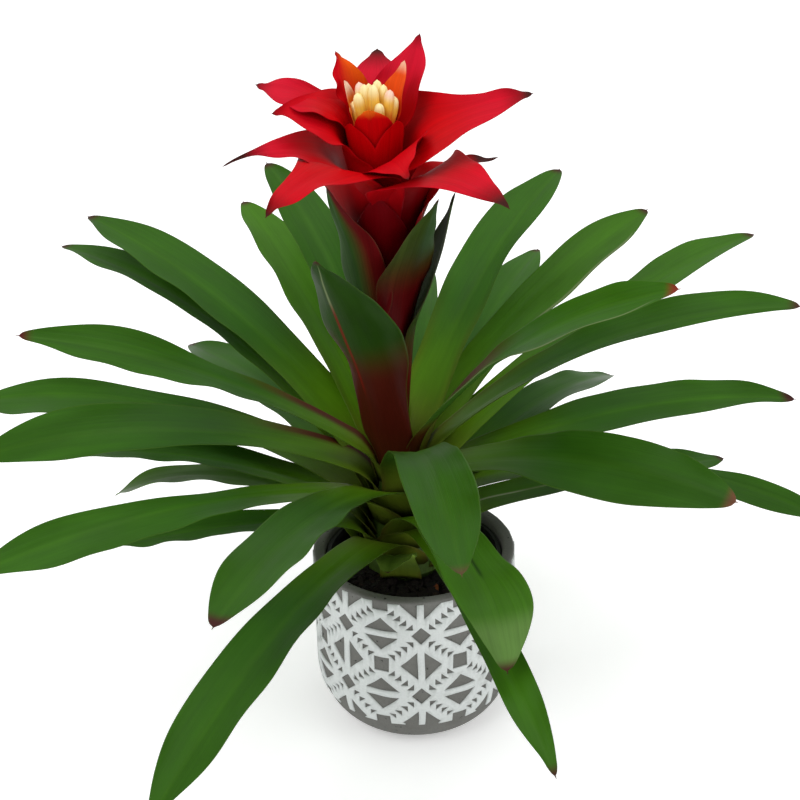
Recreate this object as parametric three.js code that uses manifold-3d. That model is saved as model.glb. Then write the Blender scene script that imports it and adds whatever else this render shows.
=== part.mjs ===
// A potted bromeliad: a rosette of strap leaves round a short stem, with a flower stalk that ends
// in a star of red bracts, standing in a black grow pot inside a round concrete planter.
// Millimetres, +Z up, origin at the middle of the planter's flat base. +Y points away from the viewer.
import * as THREE from "three";
import { mergeVertices } from "three/addons/utils/BufferGeometryUtils.js";
import Module from "manifold-3d";

const wasm = await Module();
wasm.setup();

// Driving sizes of the planter
const PLANTER_RADIUS = 65;
const PLANTER_HEIGHT = 120;
const PLANTER_WALL = 8;
const PLANTER_CORNER_WIDTH = 30;
const PLANTER_CORNER_HEIGHT = 40;
const PLANTER_FLOOR = 9;
const PLANTER_LIP = 1.5;

// Driving sizes of the grow pot and of the mix in it
const SEAT_GAP = 0.35;
const GROW_POT_TOP = 115;
const GROW_POT_RADIUS = 55;
const GROW_POT_FOOT_RADIUS = 36;
const GROW_POT_FOOT_HEIGHT = 22;
const GROW_POT_WALL = 1.4;
const DRAIN_HOLE_RADIUS = 4;
const DRAIN_HOLE_CIRCLE = 22;
const DRAIN_HOLES = 5;
const SOIL_LEVEL = 108;

// The plant stands a little left of the planter's middle and leans left
const PLANT_OFFSET = -5;
const PLANT_LEAN = 2.5;

// The short stem that the leaves grow from, in the plant's own frame: heights above the mix
const STEM_FOOT_DEPTH = 12;
const STEM_FOOT_RADIUS = 14;
const ROSETTE_FOOT = { radius: 28, height: 7 };
const ROSETTE_TOP = { radius: 10.5, height: 73 };
const SHEATH_SEAT = 0.35;

// The flower stalk, and the cone at its top that carries the red bracts
const STALK_RADIUS = 7;
const BRACTS_FOOT = { radius: 12, height: 194 };
const BRACTS_TOP = { radius: 7, height: 254 };
const CROWN_FOOT = { radius: 6, height: 262 };
const CROWN_TOP = { radius: 5, height: 270 };
const STALK_TOP = 280;

// How every leaf and bract is built. CLASP is how far a sheath reaches round the stem each way, in radians.
const CLASP = 1.1;
const LEAF_SHEATH_ANGLE = 80;
const LEAF_NECK = 38;
const LEAF_THICKNESS = 1.3;
const BRACT_SHEATH_ANGLE = 77;
const BRACT_BEND = 16;
const BRACT_THICKNESS = 0.9;
const TIP_THICKNESS_SHARE = 0.5;

const degrees = THREE.MathUtils.degToRad;
const blend = THREE.MathUtils.lerp;
const ramp = THREE.MathUtils.smoothstep;

// Materials

function finish(color, roughness, metalness = 0) {
  return new THREE.MeshStandardMaterial({ color, roughness, metalness });
}

const concrete = finish(0x8d8d88, 0.9);
const blackPlastic = finish(0x151515, 0.55);
const pottingMix = finish(0x2a1c13, 1.0);
const stemGreen = finish(0x6f8a3a, 0.6);
const leafGreen = finish(0x2f6b1f, 0.42);
const innerLeafGreen = finish(0x3b5a1e, 0.42);
const stalkBractRed = finish(0x6e1414, 0.45);
const bractRed = finish(0xc8101c, 0.45);
const bractOrange = finish(0xe2481a, 0.45);
const flowerYellow = finish(0xf2d56a, 0.5);

// Turned pieces

function turned(profile, segments) {
  return new THREE.LatheGeometry(
    profile.map(([x, y]) => new THREE.Vector2(x, y)),
    segments,
  ).rotateX(Math.PI / 2);
}

// A quarter of an ellipse from the wall down to the floor, as [radius, height] points.
function roundedCorner(radius, height, cornerWidth, cornerHeight, steps) {
  return Array.from({ length: steps + 1 }, (_, i) => {
    const turn = (i / steps) * (Math.PI / 2);
    return [
      radius - cornerWidth * (1 - Math.cos(turn)),
      height + cornerHeight * (1 - Math.sin(turn)),
    ];
  });
}

function planterGeometry() {
  const outside = roundedCorner(
    PLANTER_RADIUS,
    0,
    PLANTER_CORNER_WIDTH,
    PLANTER_CORNER_HEIGHT,
    7,
  ).reverse();
  const inside = roundedCorner(
    PLANTER_RADIUS - PLANTER_WALL,
    PLANTER_FLOOR,
    PLANTER_CORNER_WIDTH,
    PLANTER_CORNER_HEIGHT - PLANTER_WALL,
    5,
  );
  return turned(
    [
      [0, 0],
      ...outside,
      [PLANTER_RADIUS, PLANTER_HEIGHT - PLANTER_LIP],
      [PLANTER_RADIUS - PLANTER_LIP, PLANTER_HEIGHT],
      [PLANTER_RADIUS - PLANTER_WALL + PLANTER_LIP, PLANTER_HEIGHT],
      [PLANTER_RADIUS - PLANTER_WALL, PLANTER_HEIGHT - PLANTER_LIP],
      ...inside,
      [0, PLANTER_FLOOR],
    ],
    48,
  );
}

// The grow pot's outer radius at a height: a straight taper down to a bevelled foot.
function growPotRadius(height) {
  const share = (height - GROW_POT_FOOT_HEIGHT) / (GROW_POT_TOP - GROW_POT_FOOT_HEIGHT);
  return blend(GROW_POT_FOOT_RADIUS + 12, GROW_POT_RADIUS, share);
}

function growPotGeometry() {
  const foot = PLANTER_FLOOR + SEAT_GAP;
  const bend = GROW_POT_FOOT_HEIGHT + 6;
  const shell = turned(
    [
      [0, foot],
      [GROW_POT_FOOT_RADIUS - 8, foot],
      [growPotRadius(bend) - 3, bend],
      [growPotRadius(GROW_POT_TOP - 8), GROW_POT_TOP - 8],
      [GROW_POT_RADIUS + 1, GROW_POT_TOP - 8],
      [GROW_POT_RADIUS + 1, GROW_POT_TOP],
      [GROW_POT_RADIUS - GROW_POT_WALL, GROW_POT_TOP],
      [growPotRadius(bend) - 3 - GROW_POT_WALL, bend],
      [GROW_POT_FOOT_RADIUS - 8 - GROW_POT_WALL, foot + GROW_POT_WALL],
      [0, foot + GROW_POT_WALL],
    ],
    36,
  );
  let pot = solidOf(shell);
  for (let i = 0; i < DRAIN_HOLES; i += 1) {
    const turn = (i / DRAIN_HOLES) * 2 * Math.PI;
    const hole = new THREE.CylinderGeometry(DRAIN_HOLE_RADIUS, DRAIN_HOLE_RADIUS, 20, 10)
      .rotateX(Math.PI / 2)
      .translate(DRAIN_HOLE_CIRCLE * Math.cos(turn), DRAIN_HOLE_CIRCLE * Math.sin(turn), foot);
    pot = pot.subtract(solidOf(hole));
  }
  return geometryOf(pot);
}

// Solids for cutting and joining

function solidOf(geometry) {
  const bare = geometry.clone();
  bare.deleteAttribute("normal");
  bare.deleteAttribute("uv");
  const merged = mergeVertices(bare, 1e-4);
  return new wasm.Manifold(
    new wasm.Mesh({
      numProp: 3,
      vertProperties: new Float32Array(merged.attributes.position.array),
      triVerts: new Uint32Array(merged.index.array),
    }),
  );
}

function geometryOf(solid) {
  const mesh = solid.getMesh();
  return new THREE.BufferGeometry()
    .setAttribute("position", new THREE.BufferAttribute(mesh.vertProperties, 3))
    .setIndex(new THREE.BufferAttribute(mesh.triVerts, 1));
}

// The stem in the plant's own frame: a cone under the leaves, the stalk, and a cone under the bracts.
function stemProfile() {
  return [
    [0, -STEM_FOOT_DEPTH],
    [STEM_FOOT_RADIUS, -STEM_FOOT_DEPTH],
    [ROSETTE_FOOT.radius - SHEATH_SEAT - 5, 0],
    [ROSETTE_FOOT.radius - SHEATH_SEAT, ROSETTE_FOOT.height - 1],
    [ROSETTE_TOP.radius - SHEATH_SEAT, ROSETTE_TOP.height - 1],
    [STALK_RADIUS, ROSETTE_TOP.height + 10],
    [STALK_RADIUS, BRACTS_FOOT.height - 22],
    [BRACTS_FOOT.radius - SHEATH_SEAT, BRACTS_FOOT.height - 2],
    [BRACTS_TOP.radius - SHEATH_SEAT, BRACTS_TOP.height - 1],
    [CROWN_TOP.radius - SHEATH_SEAT, CROWN_TOP.height - 1],
    [CROWN_TOP.radius - SHEATH_SEAT - 1, STALK_TOP],
    [0, STALK_TOP],
  ];
}

// The mix fills the grow pot with a gap all round, and has a hollow where the stem's foot stands.
function pottingMixGeometry() {
  const foot = PLANTER_FLOOR + SEAT_GAP + GROW_POT_WALL + SEAT_GAP;
  const bend = GROW_POT_FOOT_HEIGHT + 6;
  const gap = GROW_POT_WALL + SEAT_GAP + 0.25;
  const potAtBend = growPotRadius(bend) - 3;
  const share = (SOIL_LEVEL - bend) / (GROW_POT_TOP - bend);
  const mixTop = blend(potAtBend, GROW_POT_RADIUS, share) - gap;
  const mix = solidOf(
    turned(
      [
        [0, foot],
        [GROW_POT_FOOT_RADIUS - 8 - gap, foot],
        [potAtBend - gap, bend],
        [mixTop, SOIL_LEVEL - 2],
        [mixTop - 8, SOIL_LEVEL + 0.5],
        [0, SOIL_LEVEL + 0.5],
      ],
      36,
    ),
  );
  const socket = new THREE.LatheGeometry(
    [
      [0, -STEM_FOOT_DEPTH - SEAT_GAP],
      [14 + SEAT_GAP, -STEM_FOOT_DEPTH - SEAT_GAP],
      [ROSETTE_FOOT.radius - SHEATH_SEAT - 5 + SEAT_GAP, 0],
      [ROSETTE_FOOT.radius - SHEATH_SEAT + SEAT_GAP, ROSETTE_FOOT.height - 1],
      [0, ROSETTE_FOOT.height - 1],
    ].map(([x, y]) => new THREE.Vector2(x, y)),
    24,
  )
    .rotateX(Math.PI / 2)
    .rotateY(-degrees(PLANT_LEAN))
    .translate(PLANT_OFFSET, 0, SOIL_LEVEL);
  return geometryOf(mix.subtract(solidOf(socket)));
}

// Blades: leaves and bracts

// Half the width of a strap leaf, as a share of its widest: a clasping base, a narrow neck,
// the widest stretch beyond the middle and a short point.
function strapOutline(along) {
  const neck = blend(0.85, 0.62, ramp(along, 0, 0.16));
  const body = blend(neck, 1, ramp(along, 0.14, 0.62));
  const point = Math.max(0, (along - 0.74) / 0.26);
  return body * Math.sqrt(1 - point ** 2);
}

// Half the width of a bract, as a share of its widest: a clasping base, an oval body and a drawn-out point.
function ovalOutline(along) {
  const body = blend(0.7, 1, ramp(along, 0.1, 0.55));
  const point = Math.max(0, (along - 0.5) / 0.5);
  return body * (1 - point ** 1.7);
}

// The middle line of a blade that grows from the plant's axis. It leaves the stem at the angle `sheath`,
// bends out between the distances `bendFrom` and `bendTo`, and then arches evenly from the angle `rise`
// to the angle `fall`. Its direction turns by `turn` degrees on the way. Returns one frame per station.
function middleLine({
  azimuth, radius, height, length, sheath, bendFrom, bendTo, rise, fall, turn = 0, kinkAt = 1, kink = 0, stations,
}) {
  const steps = 120;
  const frames = [];
  const at = new THREE.Vector3(
    radius * Math.cos(degrees(azimuth)),
    radius * Math.sin(degrees(azimuth)),
    height,
  );
  for (let i = 0; i <= steps; i += 1) {
    const along = i / steps;
    const distance = along * length;
    const arch = blend(rise, fall, THREE.MathUtils.clamp((distance - bendTo) / (length - bendTo), 0, 1));
    const dip = kink * ramp(along, kinkAt, kinkAt + 0.1);
    const slope = degrees(blend(sheath, arch, ramp(distance, bendFrom, bendTo)) - dip);
    const heading = degrees(azimuth + turn * along);
    const outward = new THREE.Vector3(Math.cos(heading), Math.sin(heading), 0);
    const tangent = outward.clone().multiplyScalar(Math.cos(slope)).setZ(Math.sin(slope));
    if (stations.some((station) => Math.round(station * steps) === i)) {
      frames.push({ at: at.clone(), along, outward, tangent });
    }
    at.addScaledVector(tangent, length / steps);
  }
  frames.tip = at;
  return frames;
}

// A thin closed blade round a middle line. Each cross-section is part of a ring round the plant's axis
// near the stem, and a shallow channel beyond it.
function bladeGeometry(blade) {
  const { width, length, bendTo, thickness, outline, twist = 0, channel = 0.16 } = blade;
  const frames = middleLine(blade);
  const rings = frames.map(({ at, along, outward, tangent }) => {
    const sideways = new THREE.Vector3(-outward.y, outward.x, 0);
    const upper = new THREE.Vector3().crossVectors(tangent, sideways);
    const roll = degrees(twist * ramp(along * length, bendTo, length));
    sideways.applyAxisAngle(tangent, roll);
    upper.applyAxisAngle(tangent, roll);
    const fromAxis = Math.hypot(at.x, at.y);
    const half = Math.min((width / 2) * outline(along), CLASP * fromAxis);
    const curl = Math.max(fromAxis, half / CLASP);
    const lift = channel * half * ramp(along * length, bendTo, bendTo + length / 4);
    const across = (share, depth) => {
      const turned = (half * share) / curl;
      return at
        .clone()
        .addScaledVector(sideways, curl * Math.sin(turned))
        .addScaledVector(outward, -curl * (1 - Math.cos(turned)))
        .addScaledVector(upper, lift * share * share - depth);
    };
    const deep = thickness * (1 - TIP_THICKNESS_SHARE * along);
    return [
      across(1, 0), across(0.5, 0), across(0, 0), across(-0.5, 0), across(-1, 0),
      across(-0.5, deep * 0.85), across(0, deep), across(0.5, deep * 0.85),
    ];
  });
  return closedLoft(rings, frames.tip);
}

// Joins rings of eight points, ordered round the blade, into one closed surface that ends in a point.
// The first half of the steps round a ring cross the upper face and the rest the under face. Both faces
// are split along the same diagonals, so that they can't pass through each other where the blade twists.
function closedLoft(rings, tip) {
  const positions = [...rings.flat(), tip].flatMap((p) => [p.x, p.y, p.z]);
  const size = rings[0].length;
  const last = (rings.length - 1) * size;
  const faces = [];
  for (let i = 0; i < last; i += size) {
    for (let j = 0; j < size; j += 1) {
      const a = i + j;
      const b = i + ((j + 1) % size);
      if (j < size / 2) faces.push(a, b, a + size, b, b + size, a + size);
      else faces.push(a, b, b + size, a, b + size, a + size);
    }
  }
  for (let j = 0; j < size; j += 1) faces.push(last + j, last + ((j + 1) % size), last + size);
  faces.push(0, 7, 1, 1, 7, 6, 1, 6, 2, 2, 6, 3, 3, 6, 5, 3, 5, 4);
  return new THREE.BufferGeometry()
    .setAttribute("position", new THREE.BufferAttribute(new Float32Array(positions), 3))
    .setIndex(faces);
}

function named(name, geometry, material) {
  const mesh = new THREE.Mesh(geometry, material);
  mesh.name = name;
  return mesh;
}

// Leaves, from the lowest and outermost to the innermost. Each has its direction seen from above
// in degrees from +X and how far that direction turns along the leaf, the slope above level where
// the blade starts and at its tip, then its length and width.
const LEAVES = [
  { azimuth: 262, rise: 16, fall: -14, length: 58, width: 32 },
  { azimuth: 165, turn: -10, rise: 22, fall: -37, length: 204, width: 24 },
  { azimuth: 15, turn: 8, rise: 2, fall: -12, length: 216, width: 34 },
  { azimuth: 122, rise: 14, fall: -15, length: 292, width: 36 },
  { azimuth: 246, turn: -2, rise: 17, fall: -19, length: 302, width: 36 },
  { azimuth: 45, turn: 13, rise: 15, fall: -27, length: 242, width: 34 },
  { azimuth: 202, turn: -3, rise: 16, fall: 0, length: 179, width: 28 },
  { azimuth: 79, turn: 8, rise: 26, fall: -7, length: 254, width: 30 },
  { azimuth: 286, turn: -1, rise: 12, fall: -18, length: 266, width: 21, twist: 4 },
  { azimuth: 173, turn: -8, rise: 21, fall: -12, length: 234, width: 34 },
  { azimuth: 67, turn: 2, rise: 24, fall: -7, length: 288, width: 30 },
  { azimuth: 287, turn: -5, rise: 27, fall: -12, length: 224, width: 36, kinkAt: 0.78, kink: 32 },
  { azimuth: 158, turn: 4, rise: 24, fall: -17, length: 309, width: 38, twist: -14 },
  { azimuth: 349, turn: -7, rise: 22, fall: -28, length: 271, width: 38, twist: 12 },
  { azimuth: 102, turn: -8, rise: 32, fall: -1, length: 256, width: 32 },
  { azimuth: 213, rise: 24, fall: -4, length: 278, width: 38, twist: -28 },
  { azimuth: 14, turn: 1, rise: 14, fall: -17, length: 271, width: 38, twist: 16 },
  { azimuth: 142, turn: -2, rise: 37, fall: -4, length: 313, width: 34 },
  { azimuth: 249, turn: 1, rise: 29, fall: -2, length: 269, width: 42 },
  { azimuth: 31, turn: 6, rise: 28, fall: -3, length: 312, width: 34 },
  { azimuth: 138, turn: 1, rise: 38, fall: 5, length: 301, width: 40 },
  { azimuth: 337, turn: -11, rise: 21, fall: -11, length: 222, width: 42, twist: 45 },
  { azimuth: 180, turn: 8, rise: 23, fall: -12, length: 264, width: 40, twist: -28 },
  { azimuth: 54, turn: -10, rise: 24, fall: 3, length: 288, width: 38, twist: 14 },
  { azimuth: 280, turn: -4, rise: 44, fall: -14, length: 264, width: 38 },
  { azimuth: 120, turn: -8, rise: 38, fall: 4, length: 257, width: 32 },
  { azimuth: 349, turn: -6, rise: 45, fall: 5, length: 276, width: 36, twist: 18 },
  { azimuth: 191, turn: 2, rise: 41, fall: 15, length: 254, width: 40, twist: -26 },
  { azimuth: 59, rise: 41, fall: 5, length: 258, width: 38 },
  { azimuth: 249, turn: 7, rise: 74, fall: 45, length: 221, width: 40, channel: 0.3 },
  { azimuth: 109, turn: 12, rise: 52, fall: 17, length: 233, width: 34 },
  { azimuth: 333, turn: -2, rise: 53, fall: 18, length: 241, width: 34, twist: 30 },
];

// The distances along a leaf where it has a cross-section: through the neck, then along the blade.
function leafStations(length) {
  const neck = [0, 0.34, 0.68, 1].map((share) => (share * LEAF_NECK) / length);
  const blade = [0.15, 0.3, 0.45, 0.6, 0.73, 0.84, 0.92, 0.97];
  const start = neck[neck.length - 1];
  return [...neck, ...blade.map((share) => blend(start, 1, share))];
}

function leafMesh(leaf, order) {
  const share = order / (LEAVES.length - 1);
  const geometry = bladeGeometry({
    radius: blend(ROSETTE_FOOT.radius, ROSETTE_TOP.radius, share),
    height: blend(ROSETTE_FOOT.height, ROSETTE_TOP.height, share),
    sheath: LEAF_SHEATH_ANGLE,
    bendFrom: 0,
    bendTo: LEAF_NECK,
    thickness: LEAF_THICKNESS,
    stations: leafStations(leaf.length),
    outline: strapOutline,
    ...leaf,
  });
  const material = order < LEAVES.length - 5 ? leafGreen : innerLeafGreen;
  return named(`leaf_${String(order + 1).padStart(2, "0")}`, geometry, material);
}

// Bracts on the stalk, from the lowest up. They clasp it and lean out at their tips.
const STALK_BRACTS = [
  { azimuth: 11, height: 106, length: 143, width: 28, rise: 66, fall: 74 },
  { azimuth: 220, height: 118, length: 155, width: 32, rise: 78, fall: 77, sheath: 80 },
  { azimuth: 98, height: 130, length: 112, width: 34, rise: 70, fall: 60 },
  { azimuth: 309, turn: 6, height: 142, length: 130, width: 34, rise: 68, fall: 59, sheath: 78 },
  { azimuth: 268, height: 187, length: 82, width: 38, rise: 76, fall: 73, radius: 11.5, sheath: 78 },
];

// Red bracts, from the lowest and outermost up. `mouth` is the height where each bends out of the cup.
const RED_BRACTS = [
  { azimuth: 19, mouth: 259, rise: 6, fall: -6, length: 112, width: 32 },
  { azimuth: 318, turn: -1, mouth: 269, rise: 7, fall: -30, length: 142, width: 48 },
  { azimuth: 235, mouth: 280, rise: 8, fall: -23, length: 150, width: 46 },
  { azimuth: 88, mouth: 280, rise: 43, fall: 21, length: 132, width: 32 },
  { azimuth: 198, turn: -1, mouth: 285, rise: 16, fall: -22, length: 132, width: 40, twist: -24 },
  { azimuth: 284, mouth: 283, rise: 16, fall: -12, length: 110, width: 38 },
  { azimuth: 4, mouth: 289, rise: 22, fall: 0, length: 130, width: 54, twist: 24 },
  { azimuth: 187, mouth: 300, rise: 16, fall: -6, length: 101, width: 38, twist: -20 },
  { azimuth: 54, mouth: 291, rise: 54, fall: 53, length: 104, width: 42 },
  { azimuth: 165, mouth: 301, rise: 18, fall: 2, length: 108, width: 40, twist: -22 },
  { azimuth: 121, turn: 2, mouth: 307, rise: 78, fall: 30, length: 85, width: 32 },
];

// Small bracts among the flowers
const CROWN_BRACTS = [
  { azimuth: 262, rise: 80, fall: 76, length: 50, width: 26 },
  { azimuth: 164, rise: 82, fall: 77, length: 60, width: 14 },
  { azimuth: 40, rise: 72, fall: 63, length: 62, width: 18 },
];

const BRACT_STATIONS = [0, 0.12, 0.24, 0.36, 0.46, 0.55, 0.64, 0.73, 0.82, 0.9, 0.96];

function stalkBractMesh(bract, order) {
  const geometry = bladeGeometry({
    radius: STALK_RADIUS + SHEATH_SEAT,
    sheath: 84,
    bendFrom: bract.length * 0.3,
    bendTo: bract.length * 0.6,
    thickness: BRACT_THICKNESS,
    stations: BRACT_STATIONS,
    outline: ovalOutline,
    channel: 0.1,
    ...bract,
  });
  return named(`stalk_bract_${order + 1}`, geometry, stalkBractRed);
}

function redBractMesh(bract, order) {
  const share = order / (RED_BRACTS.length - 1);
  const height = blend(BRACTS_FOOT.height, BRACTS_TOP.height, share);
  const reach = (bract.mouth - height) / Math.sin(degrees(BRACT_SHEATH_ANGLE));
  const geometry = bladeGeometry({
    radius: blend(BRACTS_FOOT.radius, BRACTS_TOP.radius, share),
    height,
    sheath: BRACT_SHEATH_ANGLE,
    bendFrom: reach - BRACT_BEND,
    bendTo: reach + BRACT_BEND,
    thickness: BRACT_THICKNESS,
    stations: BRACT_STATIONS,
    outline: ovalOutline,
    channel: 0.12,
    ...bract,
  });
  return named(`red_bract_${String(order + 1).padStart(2, "0")}`, geometry, bractRed);
}

function crownBractMesh(bract, order) {
  const share = order / (CROWN_BRACTS.length - 1);
  const geometry = bladeGeometry({
    radius: blend(CROWN_FOOT.radius, CROWN_TOP.radius, share),
    height: blend(CROWN_FOOT.height, CROWN_TOP.height, share),
    sheath: BRACT_SHEATH_ANGLE,
    bendFrom: 8,
    bendTo: 30,
    thickness: BRACT_THICKNESS,
    stations: BRACT_STATIONS,
    outline: ovalOutline,
    channel: 0.12,
    ...bract,
  });
  return named(`crown_bract_${order + 1}`, geometry, bractOrange);
}

// The flowers: buds that lean out from a short core on top of the stalk
const FLOWER_OFFSET = 0;
const BUD_RADIUS = 2.8;
const BUD_RINGS = [
  { buds: 1, spread: 0, lean: 0, foot: 296, top: 323 },
  { buds: 4, spread: 3.6, lean: 8, foot: 292, top: 320 },
  { buds: 7, spread: 6, lean: 10, foot: 290, top: 314 },
];

function flowerGeometry() {
  const core = new THREE.LatheGeometry(
    [[0, STALK_TOP + SEAT_GAP], [3.5, STALK_TOP + SEAT_GAP], [6, 288], [7, 300], [0, 306]].map(
      ([x, y]) => new THREE.Vector2(x, y),
    ),
    16,
  ).rotateX(Math.PI / 2);
  let flowers = solidOf(core);
  for (const { buds, spread, lean, foot, top } of BUD_RINGS) {
    for (let i = 0; i < buds; i += 1) {
      const length = top - foot;
      const bud = new THREE.CapsuleGeometry(BUD_RADIUS, length - 2 * BUD_RADIUS, 2, 7)
        .rotateX(Math.PI / 2)
        .translate(0, 0, length / 2)
        .rotateY(degrees(lean))
        .translate(spread, 0, foot)
        .rotateZ((i / buds) * 2 * Math.PI + spread)
        .translate(FLOWER_OFFSET, 0, 0);
      flowers = flowers.add(solidOf(bud));
    }
  }
  return geometryOf(flowers);
}

const plant = new THREE.Group();
plant.add(named("stem", turned(stemProfile(), 20), stemGreen));
LEAVES.forEach((leaf, order) => plant.add(leafMesh(leaf, order)));
STALK_BRACTS.forEach((bract, order) => plant.add(stalkBractMesh(bract, order)));
RED_BRACTS.forEach((bract, order) => plant.add(redBractMesh(bract, order)));
CROWN_BRACTS.forEach((bract, order) => plant.add(crownBractMesh(bract, order)));
plant.add(named("flowers", flowerGeometry(), flowerYellow));
plant.position.set(PLANT_OFFSET, 0, SOIL_LEVEL);
plant.rotation.y = -degrees(PLANT_LEAN);

const pottedBromeliad = new THREE.Group();
pottedBromeliad.add(named("planter", planterGeometry(), concrete));
pottedBromeliad.add(named("grow_pot", growPotGeometry(), blackPlastic));
pottedBromeliad.add(named("potting_mix", pottingMixGeometry(), pottingMix));
pottedBromeliad.add(plant);

export default pottedBromeliad;
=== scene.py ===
import math

import bmesh
import bpy
import numpy as np
from mathutils import Matrix, Vector, geometry


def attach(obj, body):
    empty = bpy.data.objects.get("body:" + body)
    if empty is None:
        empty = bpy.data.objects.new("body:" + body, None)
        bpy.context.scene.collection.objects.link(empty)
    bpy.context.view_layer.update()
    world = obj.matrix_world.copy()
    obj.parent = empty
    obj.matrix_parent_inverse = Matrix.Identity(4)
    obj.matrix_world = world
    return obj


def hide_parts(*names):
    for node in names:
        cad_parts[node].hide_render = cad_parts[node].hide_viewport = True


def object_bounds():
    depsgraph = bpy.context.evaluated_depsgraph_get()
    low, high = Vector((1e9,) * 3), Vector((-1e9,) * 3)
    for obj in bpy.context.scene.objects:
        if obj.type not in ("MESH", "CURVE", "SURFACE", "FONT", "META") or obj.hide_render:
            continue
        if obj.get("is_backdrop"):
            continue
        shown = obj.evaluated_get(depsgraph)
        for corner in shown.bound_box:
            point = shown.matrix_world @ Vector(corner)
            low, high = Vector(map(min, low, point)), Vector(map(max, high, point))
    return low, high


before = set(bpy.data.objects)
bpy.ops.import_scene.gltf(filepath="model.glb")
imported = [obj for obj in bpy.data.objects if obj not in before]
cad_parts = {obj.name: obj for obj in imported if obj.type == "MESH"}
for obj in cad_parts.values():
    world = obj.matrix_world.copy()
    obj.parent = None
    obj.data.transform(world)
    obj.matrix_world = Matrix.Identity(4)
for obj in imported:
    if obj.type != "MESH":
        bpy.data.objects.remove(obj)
cad_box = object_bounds()

# Where the plant stands: its axis starts in the mix and leans a little to the left
PLANT_FOOT = Vector((-0.005, 0, 0.108))
PLANT_LEAN = math.radians(2.5)
PLANT_FRAME = Matrix.Translation(PLANT_FOOT) @ Matrix.Rotation(-PLANT_LEAN, 4, "Y")

# The planter: its concrete body lies a little under the raised pattern painted white, which sinks into it
PLANTER_RADIUS = 0.065
PLANTER_HEIGHT = 0.120
PLANTER_WALL = 0.008
PLANTER_FLOOR = 0.009
CORNER_WIDTH = 0.030
CORNER_HEIGHT = 0.040
PATTERN_RAISE = 0.0008
PATTERN_SINK = 0.0004
PATTERN_TOP = 0.0018
PATTERN_END = 0.0965
PATTERN_REPEATS = 8
PATTERN_PERIOD = 0.0462
PATTERN_FIRST_ROW = 0.0252
PATTERN_TURN = math.radians(2.7)
PROFILE_STEPS = 24
INSIDE_STEPS = 12
LATHE_SEGMENTS = 160

# The lip: its height, and its points, in from the outside or out from the inside, and down from the rim
LIP_HEIGHT = 0.0022
LIP_OUTSIDE = ((0.0005, 0.0016), (0.0010, 0.0006), (0.0022, 0.0001))
LIP_INSIDE = ((0.0016, 0.0001), (0.0004, 0.0008), (0.0, LIP_HEIGHT))

# One tile of the pattern, in millimetres: half its width, the cuts that let it bend round the wall, closer
# together where the wall turns in, and how far down figures are drawn
TILE_HALF = math.pi * PLANTER_RADIUS * 1000 / PATTERN_REPEATS
TILE_CUTS = 20
TILE_ROWS = (*range(10, 78, 11), *range(79, 96, 4))
FIGURES_END = 100

# The bare figures in it, in millimetres: half the width and height of the diamond and of the square, how
# far off the base and the point of each large triangle lie, with half its base, and the small triangles
# along the diagonals: the share along at the first, the step, and how far each reaches back and on
DIAMOND = (6.4, 6.2)
SQUARE = (5, 5.4)
SIDE_TRIANGLE = (2.2, 13.2, 10.9)
UPRIGHT_TRIANGLE = (2.2, 12.4, 11.4)
SMALL_COUNT = 4
SMALL_FIRST = 0.275
SMALL_STEP = 0.153
SMALL_ACROSS = (2.1, 2.9)
SMALL_DOWN = (2.0, 2.6)

# Blades: how finely the surface is made, and the small pointed tip
ALONG = 72
ACROSS = 14
LEAF_THICKNESS = 0.0009
BRACT_THICKNESS = 0.0006
BODY_END = 0.990
MUCRO_WIDTH = 0.0028

# A leaf's sheath: how far it reaches round the plant each way, and where it narrows to the blade
SHEATH_REACH = 1.15
NECK_WIDEN = 0.35
TIP_NARROW = -0.2
SHEATH_FROM = 0.012
SHEATH_TO = 0.036

# How rows of points crowd towards the ends of a blade, and columns towards its margins
BASE_CROWD = 0.85
TIP_CROWD = 1.25
MARGIN_CROWD = 0.92

# Ripples for the two margins in turn: waves along the blade, and their relative size
RIPPLES = ((2.2, 1.0), (4.6, 0.6), (3.1, 0.9), (6.3, 0.45))

# The points round each cross-section of a blade of the part, and how close points count as one
SECTION_POINTS = 8
WELD_DISTANCE = 1e-5

# Florets: points along and round each, the height of their feet above the mix in millimetres, how close
# together the feet stand, how deep the three grooves are as a share, and which have a pink tip
FLORET_ROWS = 26
FLORET_SIDES = 18
FLORET_FOOT = 284
FOOT_CLOSENESS = 0.45
GROOVE_DEPTH = 0.13
PINK_FLORETS = (0, 5)

# Bark chips: how many, their sides, the smallest and the largest, those of the white grains, every which one
# is a grain, the ring they lie in, and the level of the mix
CHIP_COUNT = 260
CHIP_SIDES = 6
CHIP_SIZES = ((0.003, 0.0018, 0.0008), (0.0065, 0.0038, 0.0018))
GRAIN_SIZES = (0.0012, 0.002)
WHITE_EVERY = 61
CHIP_RING = (0.030, 0.0485)
MIX_TOP = 0.1086

# The camera, at the photo's angle
CAMERA_LENS = 81
CAMERA_PLACE = (-0.0068, -0.9714, 0.7560)
CAMERA_PITCH = 28.608
CAMERA_ROLL = -1.205

# Softboxes: place, target, size and watts
LIGHTS = {
    "key": ((-0.9, -1.1, 1.7), (0, 0, 0.25), (1.0, 1.0), 13),
    "fill": ((1.3, -0.9, 1.2), (0, 0, 0.25), (1.1, 1.1), 6),
    "top": ((0.1, 0.5, 2.0), (0, 0, 0.2), (1.6, 1.4), 14),
}
WORLD_STRENGTH = 0.72
FLOOR_SIZE = 60


def smooth(value, low, high):
    """0 up to low, 1 from high, and smooth between them."""
    share = np.clip((value - low) / (high - low), 0, 1)
    return share * share * (3 - 2 * share)


def mix(a, b, share):
    """Colours or numbers a and b mixed by share, which may be an array."""
    share = np.asarray(share)[..., None]
    return np.asarray(a) * (1 - share) + np.asarray(b) * share


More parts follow.
